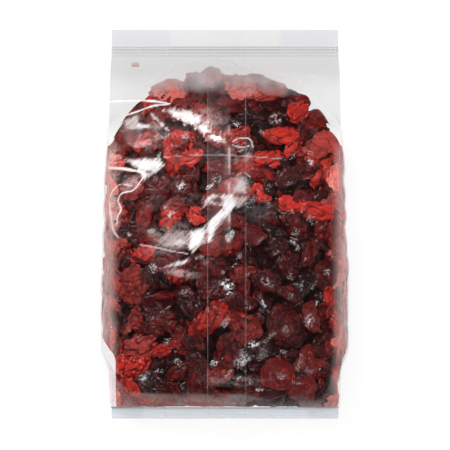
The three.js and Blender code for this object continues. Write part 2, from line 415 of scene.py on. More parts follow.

# Painted reflections of the window on sheets of loose film, feathered at their edges: how white, corners
# clockwise
GLARE_SHEETS = (
    (0.95, ((-0.3, 12.8), (3.2, 13.4), (4.6, 9.6), (2.9, 6), (-0.3, 5.4), (-1.6, 8.6))),
    (0.97, ((-8.4, -0.7), (-6.1, 2.5), (-1.8, 6.4), (1.6, 7.4), (2.4, 5.6), (-3.2, -1.2), (-5.6, -1.6))),
    (0.95, ((-8.4, -0.7), (-4.4, 0), (-3.2, -1.6), (-5.6, -5.4), (-7, -7.4), (-7.6, -4.6))),
    (0.9, ((-9.8, 7), (-7.4, 12.2), (-4.6, 12.6), (-5.2, 11.2), (-6.6, 9.2))),
    (0.85, ((-5.6, 12.7), (-0.3, 13.2), (-0.3, 11.3), (-5.4, 11.5))),
    (0.75, ((-7.2, 10.2), (-4.4, 9.6), (-0.6, 9.6), (-0.6, 7.8), (-4.4, 8.4))),
    (0.5, ((3, 12.6), (9.6, 12.2), (9.3, 9.2), (6, 7.6), (3, 7))),
    (0.95, ((-15.1, -3.4), (-8.6, -1), (-8.2, -4.4), (-10.6, -9), (-14.4, -12.4), (-16.4, -10.4))),
    (0.38, ((-30, -7), (-24, -3.4), (-15, -2.6), (-15.4, -9.6), (-20, -10.6), (-28, -9.6))),
    (0.9, ((-25.4, -18.7), (-20.6, -16.3), (-15.4, -15.6), (-17.6, -17.7))),
    (0.97, ((-43.6, 28.4), (-36, 29), (-27.9, 28.6), (-26.2, 25.8), (-31.8, 22.4), (-38.6, 24.6))),
    (0.9, ((-38.6, 24.6), (-31.8, 22.6), (-35.2, 19.4), (-36.4, 20.2))),
    (0.5, ((-44.4, 46.6), (-38.4, 48), (-37.8, 41.8), (-43.8, 41.6))),
    (0.9, ((-38.4, 44.7), (-32.2, 43.3), (-38.4, 42.1))),
    (0.9, ((-32.2, 48.9), (-28.8, 46.6), (-24.8, 41.4), (-28.2, 43), (-31.2, 46.4))),
    (0.45, ((3.6, 14), (6, 19.6), (9.6, 19.6), (9.6, 13.4))),
    (0.7, ((-27, 50.6), (-22, 51.2), (-16, 50.2), (-9, 46), (-11, 43), (-22, 47.6))),
)
SHEET_GRAIN = (0.68, 0.73)  # the way that the streaks in them run
STREAK_LENGTH = 5
STREAK_WIDTH = 0.7
SHEET_FRINGE = 3  # how far out from a sheet its feathered edge can reach

# Painted reflections of the window along creases of the stiff film: how white, half the width, and points
# that each runs through
GLARE_CREASES = (
    (0.95, 0.5, ((-51, 54.2), (-45, 54.8), (-34.7, 54.8), (-29.3, 54.3), (-24.3, 53.3))),
    (0.9, 0.42, ((-45.9, 47.6), (-39.2, 49.7), (-31.8, 52.4), (-24.6, 53.3))),
    (1.0, 0.7, ((-51, 25), (-46, 24.7), (-41, 23.9), (-36, 22.8))),
    (1.0, 0.3, ((-35, 22), (-37.2, 18.8), (-40.2, 15), (-44.7, 13.9), (-46.6, 12.4))),
    (1.0, 0.4, ((-46.6, 12.4), (-46.9, 9.8), (-45.6, 6.6), (-47.3, 3.1), (-47.3, 0.1))),
    (0.85, 0.32, ((-41, 16.9), (-46.2, 17.6), (-49.6, 14.6), (-50.8, 10.9), (-50.2, 4), (-49.3, -2.1),
                  (-47, -6))),
    (0.7, 0.3, ((3.2, 36.2), (5.4, 37.6), (9.2, 38), (11.4, 36.9), (12.2, 34))),
    (0.6, 0.3, ((3.4, 34.8), (7, 34), (10.6, 34.4))),
    (0.12, 0.8, ((28, 66), (37, 58), (51, 43))),
    (0.32, 0.22, ((-49, 27.2), (-38, 28), (-22, 29.8), (-8, 30.6), (8, 30), (27, 28.6))),
    (0.5, 0.3, ((-37, -9.2), (-30, -10.3), (-23, -12), (-16.4, -13))),
    (0.45, 0.25, ((5, 21.5), (8.2, 22.8), (11, 20.8))),
)

# Milky patches of the film, partly painted sheen of the lamps: how milky, middle, reach each way and turn
# in degrees
VEILS = (
    (0.4, (-49, 5.7), (3.4, 11), 0),
    (0.2, (-24, -9.5), (12, 3.2), 12),
    (0.24, (-24.8, -3.4), (9, 3.6), 15),
    (0.4, (-41, 18.3), (6, 2.6), 30),
    (0.15, (-33.8, 37.5), (8, 4), -15),
    (0.4, (-48.8, 27), (3.6, 9), 0),
    (0.3, (6.8, 32), (5, 6), 0),
    (0.3, (6, 17.5), (6, 5), 20),
    (0.05, (14.5, 6.5), (9, 6), -20),
    (0.25, (-6, 47), (8, 4), -30),
    (0.12, (4, -69), (16, 2.6), 0),
    (0.3, (-18.5, -21.5), (8, 2), -8),
)

# Painted glints of the film in fine wrinkles: how white, middle, reach each way, turn in degrees
GLINTS = (
    (0.9, (0.8, -26.6), (3.4, 2.4), -20),
    (0.5, (18, -25.1), (2.6, 1.8), -35),
    (0.8, (12, -52.9), (3, 1.4), 10),
    (0.5, (7.5, -60.4), (4, 3.2), 30),
    (0.6, (37.5, -42.4), (1.6, 2.8), 0),
    (0.5, (45, -21.4), (1.8, 1.4), 0),
    (0.5, (-42, -4.9), (1.2, 1.2), 0),
    (0.7, (41.3, -64), (1.1, 0.6), 0),
    (0.7, (15, -73.1), (2.2, 0.6), -5),
    (0.7, (-1.5, -59.3), (2.2, 0.5), 22),
    (0.6, (16.9, -34.9), (2.8, 0.7), -58),
    (0.45, (22.5, 46.8), (3, 2.4), 20),
    (0.8, (-19.2, 16.8), (2.4, 2.2), 40),
    (0.8, (-23.3, 4.1), (1.8, 1.8), 0),
    (0.5, (37.5, 27.5), (1.4, 1.8), 0),
    (0.5, (-3.7, 19.8), (2.2, 2), 30),
    (0.5, (-36, -68), (2, 1.4), 30),
    (0.5, (30, -8), (2, 1), -30),
    (0.45, (40, -35), (1.4, 1.2), 0),
)


def spread(knots, cells):
    """Values from knot to knot, with the given number of even cells between each pair."""
    values = [knots[0]]
    for start, end, count in zip(knots, knots[1:], cells):
        values += [mix(start, end, (i + 1) / count) for i in range(count)]
    return np.array(values)


def noise_field(s, y, size, shift):
    """Smooth noise over the unrolled film, with features of a given size."""
    around = 2 * math.pi * s / PERIMETER
    radius = PERIMETER / (2 * math.pi)
    points = np.stack([radius * np.cos(around), radius * np.sin(around), y], axis=-1) / size
    return noise_values(points.reshape(-1, 3) + shift).reshape(s.shape)


def looseness(s, y):
    """1 where the film stands off the berries in broad wrinkles, towards the upper left of the front."""
    off = np.hypot((s - LOOSE_CENTRE[0]) / LOOSE_REACH[0], (y - LOOSE_CENTRE[1]) / LOOSE_REACH[1])
    return smooth((1.25 - off) / 0.5)


def crumple(s, y, loose):
    """Sharp shallow creases of the stiff film, calmer in its upper corners."""
    broad = CREASE_RIDGE - np.abs(noise_field(s, y, BROAD_CREASES, 3.7))
    fine = CREASE_RIDGE - np.abs(noise_field(s, y, FINE_CREASES, 9.1))
    calm = 1 - 0.5 * smooth((np.abs(s) - 26) / 12) * smooth((y - 30) / 10)
    return (mix(0.3, 1.6, loose) * broad + mix(0.15, 0.5, loose) * fine) * calm


def rib_height(y):
    def wave(t, ribs):
        return RIB * (1 - np.abs(2 * ((t * ribs) % 1) - 1))
    top = np.where((y > BODY_UP) & (y < SEAL_UP), wave((y - BODY_UP) / TOP_SEAL, TOP_RIBS), 0)
    low = np.where((y > BOTTOM) & (y < BODY_LOW), wave((y - BOTTOM) / BOTTOM_SEAL, BOTTOM_RIBS), 0)
    return top + low


def depth_inside(s, y, corners):
    """How far points lie inside an outline whose corners run clockwise; negative outside it."""
    depth = np.full(s.shape, 1000.0)
    for (x0, y0), (x1, y1) in zip(corners, corners[1:] + corners[:1]):
        side = ((s - x0) * (y1 - y0) - (y - y0) * (x1 - x0)) / math.hypot(x1 - x0, y1 - y0)
        depth = np.minimum(depth, side)
    return depth


def flatten_facets(s, y, z):
    """Draws the film flat over each facet; returns its heights, where it is flat and where its painted
    highlight fringe lies.
    """
    flat = np.zeros_like(z)
    rim = np.zeros_like(z)
    for grain, milky, corners in FACETS:
        centre_s, centre_y = np.mean(corners, axis=0)
        base_z = loop_point(centre_s, levels_at(centre_y))[1]
        plane = base_z + FACET_LIFT + FACET_RISE[0] * (s - centre_s) + FACET_RISE[1] * (y - centre_y)
        depth = depth_inside(s, y, corners)
        near = depth > -FACET_RIM
        inside = np.zeros_like(z)
        here = (s[near], y[near])
        wobble = noise_field(*here, 3, 2.2)
        fringe = noise_field(*here, 1.4, 7.1) + 0.8 * noise_field(*here, 0.8, 4.7) + wobble
        inside[near] = smooth((depth[near] - 0.2 + 1.2 * wobble) / 1.2 + 0.5)
        plane[near] += grain * noise_field(*here, 1.0, 6.3)
        rim[near] = np.maximum(rim[near], milky * smooth((depth[near] + 1.5 + 2.2 * fringe) / FACET_RIM))
        z = mix(z, plane, inside)
        flat = np.maximum(flat, inside)
    return z, flat, rim


def line_distance(s, y, points):
    """Distance of points on the film from a line that runs through a few points."""
    nearest = np.full(s.shape, 1000.0)
    for (x0, y0), (x1, y1) in zip(points, points[1:]):
        dx, dy = x1 - x0, y1 - y0
        t = clamp01(((s - x0) * dx + (y - y0) * dy) / (dx * dx + dy * dy))
        nearest = np.minimum(nearest, np.hypot(s - x0 - t * dx, y - y0 - t * dy))
    return nearest


def curve_through(points):
    """A smooth curve through the points, as more points."""
    points = np.array(points, dtype=float)
    ends = np.vstack([2 * points[0] - points[1], points, 2 * points[-1] - points[-2]])
    curve = []
    for before, start, end, after in zip(ends, ends[1:], ends[2:], ends[3:]):
        for t in (0, 0.25, 0.5, 0.75):
            curve.append(0.5 * (2 * start + (end - before) * t
                                + (2 * before - 5 * start + 4 * end - after) * t * t
                                + (3 * start - before - 3 * end + after) * t ** 3))
    return curve + [points[-1]]


def crease_glare(s, y):
    """Painted highlight lines along creases of the film, which thin out and swell along their way."""
    white = np.zeros_like(s)
    uneven = 0.85 + 0.6 * noise_field(s, y, 5, 3.3)
    for strength, width, points in GLARE_CREASES:
        away = line_distance(s, y, curve_through(points))
        white = np.maximum(white, strength * smooth(1.4 - away / (width * uneven)))
    return white


def sheet_glare(s, y):
    """Painted reflections of the window on sheets of film, streaky one way and feathered at their edges.
    """
    clear = np.ones_like(s)
    along = SHEET_GRAIN[0] * s + SHEET_GRAIN[1] * y
    across = SHEET_GRAIN[0] * y - SHEET_GRAIN[1] * s
    for strength, corners in GLARE_SHEETS:
        depth = depth_inside(s, y, corners)
        near = depth > -SHEET_FRINGE
        place = (along[near] / STREAK_LENGTH, across[near] / STREAK_WIDTH, 0.1 * y[near])
        streaks = noise_values(np.stack(place, axis=-1))
        grains = noise_field(s[near], y[near], 0.8, 5.2)
        feather = smooth((depth[near] + 0.7 + 1.0 * streaks + 0.5 * grains) / 2)
        uneven = 1 + (1.15 - strength) * (1.2 * streaks + 0.9 * grains)
        clear[near] *= 1 - strength * feather * clamp01(uneven)
    return 1 - clear


def bright_lines(s, y):
    """Painted highlights on the film: glare along creases, glare on sheets, and glints."""
    layers = [crease_glare(s, y), sheet_glare(s, y), glint_amount(s, y)]
    return 1 - np.prod([1 - layer for layer in layers], axis=0)


def patches(s, y, listed):
    """Soft round patches, each listed with its strength, middle, reach each way and turn."""
    total = np.zeros_like(s)
    for strength, (x0, y0), (reach_x, reach_y), turn in listed:
        c, d = math.cos(math.radians(turn)), math.sin(math.radians(turn))
        along = ((s - x0) * c + (y - y0) * d) / reach_x
        across = ((y - y0) * c - (s - x0) * d) / reach_y
        total = np.maximum(total, strength * smooth((1.3 - np.hypot(along, across)) / 0.9))
    return total


def veil_amount(s, y):
    """Milky patches, partly painted sheen, streaky and finely speckled."""
    streaks = 0.6 + 0.9 * noise_field(s * 0.7, y * 1.3, 2.0, 8.8) + 0.5 * noise_field(s, y, 8, 4.4)
    return patches(s, y, VEILS) * clamp01(streaks + 1.1 * noise_field(s, y, 0.85, 5.7))


def glint_amount(s, y):
    """Painted glints: fine white wrinkle lines in the listed spots."""
    wrinkles = ridge_lines(noise_field(s, y, 1.9, 5.5) + 0.4 * noise_field(s, y, 0.9, 2.1), 5)
    return patches(s, y, GLINTS) * clamp01(1.6 * wrinkles)


def film_surface(s, y, berries):
    """The finished film at s, y: its places and where it touches the berries or is flat."""
    x, z, out_x, out_z, level = loop_frame(s, y)
    on_side = (np.abs(s) > HALF_FACE) & (np.abs(s) < BACK_START)
    on_front = np.abs(s) <= HALF_FACE
    shut = np.where(on_side, 1 - clamp01(level.pocket / SHUT_POCKET), 1)
    lumps = lump_height(s, y, berries)
    loose = looseness(s, y)
    tight = np.where(on_front, TIGHT_RELIEF, np.where(on_side, SIDE_RELIEF, 1))
    relief = lumps * mix(tight, LOOSE_RELIEF, loose) * level.filled * shut
    relief = relief + crumple(s, y, loose) * smooth(level.filled * 4) * shut
    ribs = np.where(on_front, rib_height(y), 0)
    pressed = CLING + CLING_ON_LUMPS * smooth(lumps + SAG - 0.2) * (1 - loose)
    # The upper corners of the front and the upper sides and back don't mirror the lamps either
    shoulder = smooth((np.abs(s) - 24) / 8) * smooth((y - 31) / 6)
    flattened = smooth((y - 25) / 10)
    touch = np.where(on_front, np.maximum(pressed, shoulder), flattened)
    x = x + out_x * relief
    z = np.maximum(REST_GAP, z + out_z * relief + ribs)
    return SimpleNamespace(s=s, y=y, x=x, z=z, touch=touch, loose=loose, white=np.zeros_like(s))


def front_surface(s, y, berries):
    film = film_surface(s, y, berries)
    film.z, flat, film.rim = flatten_facets(s, y, film.z)
    film.touch = film.touch * (1 - flat)
    # The painted highlights, laid into the milkiness
    film.white = bright_lines(s, y)
    return film


def set_points(mesh, points):
    mesh.vertices.foreach_set("co", (np.asarray(points) * MM).ravel())
    mesh.update()


def add_value(mesh, name, values):
    attribute = mesh.attributes.new(name, "FLOAT", "POINT")
    attribute.data.foreach_set("value", np.asarray(values, dtype=np.float32).ravel())


def add_colour(mesh, name, colours):
    attribute = mesh.attributes.new(name, "FLOAT_COLOR", "POINT")
    opaque = np.ones(colours.shape[:-1] + (1,))
    attribute.data.foreach_set("color", np.concatenate([colours, opaque], axis=-1).ravel())


def new_piece(name, mesh):
    piece = bpy.data.objects.new(name, mesh)
    bpy.context.scene.collection.objects.link(piece)
    mesh.polygons.foreach_set("use_smooth", [True] * len(mesh.polygons))
    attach(piece, "root")
    return piece


def finished_mesh(bm, name):
    mesh = bpy.data.meshes.new(name)
    bm.to_mesh(mesh)
    bm.free()
    return mesh


def grid_mesh(name, columns, rows):
    """A grid with one vertex for each column and row, ready to be moved into place."""
    bm = bmesh.new()
    bmesh.ops.create_grid(bm, x_segments=columns - 1, y_segments=rows - 1, size=0.5)
    return finished_mesh(bm, name)


def film_piece(name, film, haze, tint, mat):
    rows, columns = film.s.shape
    mesh = grid_mesh(name, columns, rows)
    set_points(mesh, np.stack([film.x, film.y, film.z], axis=-1).reshape(-1, 3))
    add_value(mesh, "haze", haze)
    add_colour(mesh, "milk", milk_colour(film.s, film.y, film.loose * (1 - film.white)))
    add_value(mesh, "touch", film.touch)
    add_colour(mesh, "tint", tint)
    mesh.materials.append(mat)
    return new_piece(name, mesh)


def film_rows():
    knots = [BOTTOM, BODY_LOW, BODY_UP, SEAL_UP, TOP]
    cells = [SEAL_CELL, BODY_CELL, SEAL_CELL, FLAP_CELL]
    return spread(knots, [round(width / cell) for width, cell in zip(np.diff(knots), cells)])


def make_front(rows, berries, mat):
    columns = spread([-HALF_FACE, HALF_FACE], [round(FACE_WIDTH / FRONT_CELL)])
    film = front_surface(*np.meshgrid(columns, rows), berries)
    piece = film_piece("film_front", film, front_haze(film), front_tint(film), mat)
    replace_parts(piece, "bag")
    return film


def make_back(rows, berries, mat):
    back_cells = round(FACE_WIDTH / BACK_CELL)
    around_back = [HALF_FACE, BACK_START, PERIMETER - BACK_START, PERIMETER - HALF_FACE]
    columns = spread(around_back, [GUSSET_CELLS, back_cells, GUSSET_CELLS])
    unrolled, y = np.meshgrid(columns, rows)
    s = np.where(unrolled > PERIMETER / 2, unrolled - PERIMETER, unrolled)
    film = film_surface(s, y, berries)
    piece = film_piece("film_back", film, side_haze(film), np.ones(s.shape + (3,)), mat)
    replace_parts(piece, "bag")
    return film


def make_seam(rows, berries, mat):
    """The lap seam: a strip of film laid over the front, with its two edges and its weld."""
    knots = [SEAM_LEFT, SEAM_LEFT + SEAM_EDGE, WELD_LEFT, WELD_RIGHT, SEAM_RIGHT - SEAM_EDGE, SEAM_RIGHT]
    columns = spread(knots, SEAM_CELLS)
    film = front_surface(*np.meshgrid(columns, rows), berries)
    film.z = film.z + SEAM_LIFT
    piece = film_piece("lap_seam", film, seam_haze(film), np.ones(film.s.shape + (3,)), mat)
    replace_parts(piece, "bag")


# Where the film is milky or shaded
EVEN_HAZE = 0.003
LOOSE_HAZE = 0.04
TOP_HAZE_START = 57.3
TOP_HAZE_RISE = 0.075  # how much milkier with each millimetre up
TOP_HAZE_MOST = 0.48
TOP_HAZE_REACH = 5  # how far past the berries it ends
FOLD_HAZE = (0.21, 0.05)  # left, right
EDGE_HAZE = (0.36, 0.3)  # left, right
EDGE_HAZE_START = 46.5
EDGE_HAZE_TOP = 40
SEAL_HAZE = 0.4
BORDER_HAZE = 0.04  # where the gussets' folds show through the header flap
BELOW_SEAL_GREY = (0.17, 0.12)  # from the heap's shoulders up, and more from its top up
FLAP_GREY = 0.2
END_LINE_GREY = 0.7  # along the upper edge of the bottom seal
BOTTOM_FOLD = -75  # upper edge of the milky fold above the bottom seal, left of the middle
SEAL_LINES = ((79.5, 0.22), (78.35, 0.34), (77.0, 0.22), (75.65, 0.14))  # height on the bag, how dark
FOLD_EDGE = HALF_FACE - GUSSET_DEPTH


def bump_line(value, centre, half_width):
    """1 along a line, falling off to both sides."""
    return smooth(1 - np.abs(value - centre) / half_width)


def fold_line(s):
    """Upper edge of the milky fold: lower to the right of the middle, and rising at both corners."""
    left = 8 * clamp01((-38 - s) / 11) ** 2
    right = 14 * clamp01((s - 40) / 8) ** 2
    return BOTTOM_FOLD - 3.2 * smooth((s - 5) / 20) + left + right


# Colours of the milkiness: white, a painted red glow of the berries behind it, and painted shade over the
# heap's top
MILK_WHITE = (0.88, 0.87, 0.88)
MILK_BERRY_GLOW_LOOSE = (0.95, 0.66, 0.64)
MILK_BERRY_GLOW_SIDES = (0.97, 0.66, 0.62)
MILK_BERRY_GLOW_FOLD = (0.97, 0.5, 0.47)
MILK_SHADED = (0.56, 0.54, 0.545)


def milk_colour(s, y, rosy):
    """Colour of the milkiness: a painted red glow of the berries behind it where the film stands loose, at
    the sides and at the bottom, and painted shade over the heap's top.
    """
    body = y > BODY_LOW
    colour = np.ones(s.shape + (3,)) * MILK_WHITE
    layers = (
        (MILK_BERRY_GLOW_LOOSE, 0.9 * rosy),
        (MILK_BERRY_GLOW_SIDES, 0.9 * smooth((np.abs(s) - 44) / 5) * smooth((46 - y) / 10) * body),
        (MILK_BERRY_GLOW_FOLD, 0.9 * smooth((12 - s) / 20) * smooth((fold_line(s) - y) / 0.7) * body),
        (MILK_SHADED, smooth((y - TOP_HAZE_START + 2) / 5) * (y < BODY_UP)),
    )
    for shade, amount in layers:
        colour = mix(colour, np.array(shade), amount[..., None])
    return colour


def top_haze(s, y):
    """The mist over the top of the heap."""
    start = TOP_HAZE_START + 3 * noise_field(s, 0 * y, 13, 4.4) + 1.5 * noise_field(s, y, 4, 6.1)
    patchy = 0.95 + 0.35 * noise_field(s, y, 5, 1.7) + 0.1 * smooth(-s / 15)
    over_heap = smooth((heap_limit(s) + TOP_HAZE_REACH + 1.5 * noise_field(s, y, 5, 8.3) - y) / 3)
    return np.minimum(TOP_HAZE_RISE * np.maximum(0, y - start), TOP_HAZE_MOST) * patchy * over_heap


def fold_haze(s, y):
    """The milky fold above the bottom seal, whiter just over the seal and clear again at it."""
    folded = mix(*FOLD_HAZE, smooth(s / 20)) * clamp01(0.9 + 0.9 * noise_field(s * 0.5, y, 4, 9.4))
    in_fold = smooth((fold_line(s) - y) / 1.4 + 0.5) * (y > BODY_LOW)
    whiter = 0.12 * smooth((BODY_LOW + 2.2 - y) / 2)
    end_clear = 1 - 0.55 * smooth((BODY_LOW + 1.2 - y) / 0.5)
    return (folded + whiter) * in_fold * end_clear


def edge_haze(s, y):
    """Milky film along both sides, partly painted sheen where the film turns away, further down and
    further in at the right corner.
    """
    corner = smooth(s) * smooth((-58 - y) / 12)
    strength = np.where(s < 0, *EDGE_HAZE) * smooth((EDGE_HAZE_TOP - y) / 10)
    inward = smooth((np.abs(s) - mix(EDGE_HAZE_START, EDGE_HAZE_START - 1.5, corner)) / 5.5)
    return strength * inward * np.maximum(smooth((y + 70) / 12), corner)


def front_haze(film):
    """How milky the front is, with everything white on it, the painted highlights too, laid over each
    other.
    """
    s, y = film.s, film.y
    cloudy = clamp01(0.25 + 1.2 * noise_field(s, y, 7, 2.6) + 0.9 * noise_field(s, y, 1.8, 9.7))
    loose = EVEN_HAZE + LOOSE_HAZE * film.loose * cloudy
    seal = np.where(y < BODY_LOW, SEAL_HAZE + 0.3 * noise_field(s * 0.12, y, 0.9, 1.3), 0)
    border = np.where(y > SEAL_UP, BORDER_HAZE * bump_line(np.abs(s), FOLD_EDGE, 1.3), 0)
    layers = [top_haze(s, y), fold_haze(s, y), edge_haze(s, y), loose, veil_amount(s, y), seal, border,
              film.rim, film.white]
    return 1 - np.prod([1 - clamp01(layer) for layer in layers], axis=0)


def side_haze(film):
    """Milky where the film turns down over the sides, partly painted sheen there, and clear on the back.
    """
    s, y = film.s, film.y
    upper = smooth((GUSSET_MIDDLE - np.abs(s)) / 14)
    filled = smooth((y + 58) / 10) * smooth((BODY_UP - 22 - y) / 20)
    patchy = 0.85 + 0.6 * noise_field(s, y, 6, 5.1) + 0.4 * noise_field(s, y, 2, 3.6)
    return clamp01(0.3 * upper * filled * patchy)


def seam_haze(film):
    s, y = film.s, film.y
    edges = np.maximum(bump_line(s, SEAM_LEFT, 0.3), bump_line(s, SEAM_RIGHT, 0.3))
    over_berries = smooth((heap_top(s) - y) / 8)
    weld = 0.3 * bump_line(s, (WELD_LEFT + WELD_RIGHT) / 2, 2.2) + bump_line(s, WELD_LINE, 0.75)
    # Painted glare on the weld: only in a band up the middle of the bag, and patchy along it
    lit = smooth((y + 12) / 16) * smooth((54 - y) / 18)
    glare = lit * clamp01(0.6 + 1.3 * noise_field(s, y, 3, 7.7) + 0.8 * noise_field(0 * s, y, 9, 2.7))
    edge_unevenness = 0.75 + 0.6 * noise_field(0 * s, y, 6, 1.9)
    strip = 0.035 * film.loose * smooth((WELD_RIGHT - s) / 2)
    return clamp01(0.32 * edges * edge_unevenness * mix(0.4, 1, over_berries) + 0.5 * weld * glare + strip)


def front_tint(film):
    """Colour that the film lets through: darker lines in the top seal, a bluish bottom seal."""
    s, y = film.s, film.y
    dark = np.zeros_like(s)
    dots = np.where(np.abs(s) > FOLD_EDGE, 0.55 + 0.45 * np.sin(2 * math.pi * s / 1.35), 0.8)
    for height, depth in SEAL_LINES:
        dark = dark + depth * bump_line(y, height, 0.5) * dots
    upper, uppermost = BELOW_SEAL_GREY
    below_seal = (upper * smooth((y - 36) / 10) + uppermost * smooth((y - 58) / 12)) * (y < SEAL_UP)
    flap = np.where(y > SEAL_UP - 0.01, FLAP_GREY, 0)
    end_line = np.where((y < BODY_LOW + 0.6) & (y > BODY_LOW - 0.3), END_LINE_GREY, 0)
    end_shade = 0.12 * smooth((y - BODY_LOW + 2.2) / 2) * (y < BODY_LOW)
    grey = 1 - clamp01(dark + below_seal + flap + end_line + end_shade)
    wave = 0.5 + 0.5 * np.sin(2 * math.pi * (y + 0.5 * noise_field(s * 0.3, 0 * y, 9, 2.9)) / 1.25)
    bluish = np.where(y < BODY_LOW, 1 - 0.14 * wave ** 3, 1)
    red = np.where(y < BODY_LOW, 0.87, np.where((y > SEAL_UP) & (np.abs(s) > FOLD_EDGE), 0.96, 1))
    green = np.where(y < BODY_LOW, 0.93, red)
    return np.stack([grey * bluish ** 1.6 * red, grey * bluish ** 1.1 * green, grey * bluish], axis=-1)


# Materials
FILM_GLOSS = 0.08  # how much the film mirrors where it faces the eye
FILM_EDGE_GLOSS = 0.45  # how much more where it turns away
FILM_EDGE_POWER = 4
FILM_ROUGHNESS = 0.1
TOUCH_LOSS = 0.9  # share of the mirroring that berries take away where they touch the film


def empty_nodes(owner):
    """The node tree of a new material or world, without the nodes that it comes with."""
    owner.use_nodes = True
    owner.node_tree.nodes.clear()
    return owner.node_tree


def node(tree, kind, inputs, **settings):
    """A new node, with each of the listed inputs set to a value or fed by a socket."""
    made = tree.nodes.new("ShaderNode" + kind)
    for key, value in settings.items():
        setattr(made, key, value)
    for key, value in inputs.items():
        if isinstance(value, bpy.types.NodeSocket):
            tree.links.new(value, made.inputs[key])
        else:
            made.inputs[key].default_value = value
    return made


def sum_node(tree, operation, *values, **settings):
    """The socket with the result of a sum on values and sockets."""
    return node(tree, "Math", dict(enumerate(values)), operation=operation, **settings).outputs[0]


def vertex_value(tree, name, output="Fac"):
    """The socket with what the piece's vertices hold under a name."""
    return node(tree, "Attribute", {}, attribute_name=name).outputs[output]


def layered(tree, amount, below, above):
    """The socket with one shader laid over another."""
    return node(tree, "MixShader", {0: amount, 1: below, 2: above}).outputs[0]


def new_material(name):
    mat = bpy.data.materials.new(name)
    return mat, empty_nodes(mat)


def film_material():
    """Clear film, milky and tinted as its vertices say, which mirrors more where it turns away."""
    mat, tree = new_material("clear film")
    clear = node(tree, "BsdfTransparent", {"Color": vertex_value(tree, "tint", "Color")})
    frost = node(tree, "BsdfDiffuse", {"Color": vertex_value(tree, "milk", "Color")})
    shine = node(tree, "BsdfGlossy", {"Roughness": FILM_ROUGHNESS})
    facing = node(tree, "LayerWeight", {"Blend": 0.5}).outputs["Facing"]
    steep = sum_node(tree, "POWER", facing, FILM_EDGE_POWER)
    amount = sum_node(tree, "MULTIPLY_ADD", steep, FILM_EDGE_GLOSS, FILM_GLOSS)
    bare = sum_node(tree, "MULTIPLY_ADD", vertex_value(tree, "touch"), -TOUCH_LOSS, 1)
    gloss = sum_node(tree, "MULTIPLY", amount, bare)
    body = layered(tree, vertex_value(tree, "haze"), clear.outputs[0], frost.outputs[0])
    skin = layered(tree, gloss, body, shine.outputs[0])
    node(tree, "OutputMaterial", {"Surface": skin})
    return mat


# Berries
# Each kind: its darkest colour, for dark mottling and as painted shade in the creases, its lightest
# colour, how wet its gloss is and how grainy
KINDS = {
    "pale": dict(valley=(0.3, 0.05, 0.04, 1), ridge=(0.85, 0.2, 0.16, 1), wet=0.2, grainy=1.2),
    "pulp": dict(valley=(0.1, 0.009, 0.008, 1), ridge=(0.42, 0.05, 0.042, 1), wet=0.25, grainy=1.3),
    "bright": dict(valley=(0.1, 0.004, 0.003, 1), ridge=(0.66, 0.032, 0.019, 1), wet=0.6, grainy=0.5),
    "red": dict(valley=(0.035, 0.002, 0.002, 1), ridge=(0.27, 0.014, 0.011, 1), wet=0.4, grainy=0.5),
    "maroon": dict(valley=(0.02, 0.002, 0.002, 1), ridge=(0.15, 0.01, 0.01, 1), wet=0.5, grainy=0.4),
    "dark": dict(valley=(0.013, 0.002, 0.002, 1), ridge=(0.085, 0.008, 0.009, 1), wet=0.8, grainy=0.4),
}
SHARES = (0, 0.1, 0.22, 0.56, 0.8)  # of the kinds, running total
KIND_SHAPES = {
    "pale": ("slice", "fold"),
    "pulp": ("slice", "fold"),
    "bright": ("fold", "tongue"),
    "red": ("fold", "tongue", "slice"),
    "maroon": ("fold", "raisin"),
    "dark": ("raisin", "fold"),
}

# Shapes of dried berries, in half lengths: width and thickness, how square the outline is, how thick
# the rim stays, hollow of the face, curl, depth of folds and of wrinkles, wrinkles across and along
SHAPES = {
    "slice": dict(width=0.86, thick=0.3, corner=2.3, rim=4, hollow=0.16, curl=0.14,
                  fold=0.13, wrinkle=0.08, across=4.4, along=3.6),
    "tongue": dict(width=0.54, thick=0.34, corner=2.5, rim=2.6, hollow=0.0, curl=0.16,
                   fold=0.16, wrinkle=0.06, across=4.2, along=2.0),
    "fold": dict(width=0.72, thick=0.36, corner=2.1, rim=2.6, hollow=-0.06, curl=0.3,
                 fold=0.26, wrinkle=0.1, across=4.4, along=2.6),
    "raisin": dict(width=0.7, thick=0.44, corner=2.1, rim=2.3, hollow=0.0, curl=0.12,
                   fold=0.2, wrinkle=0.14, across=5.0, along=1.8),
}
VARIANTS = 6
CELLS = {"fine": 15, "middle": 9, "coarse": 6}  # across each side of the cube that a form starts from


def fleck_noise(tree, scale, detail, twist):
    """The socket with a noise that stays in place on the piece."""
    place = node(tree, "TexCoord", {}).outputs["Object"]
    settings = {"Vector": place, "Scale": scale, "Detail": detail, "Distortion": twist}
    return node(tree, "TexNoise", settings).outputs["Fac"]


def two_colours(tree, first, second, factor):
    mixed = node(tree, "Mix", {"A": first, "B": second, "Factor": factor}, data_type="RGBA")
    return mixed.outputs["Result"]


def bumped(tree, inputs):
    return node(tree, "Bump", inputs).outputs["Normal"]


def opaque_surface(tree, inputs):
    """Gives a material one opaque surface."""
    surface = node(tree, "BsdfPrincipled", inputs)
    node(tree, "OutputMaterial", {"Surface": surface.outputs[0]})


MOTTLE_SCALE = 330
WRINKLE_SCALE = 430
PULP_SCALE = 1500


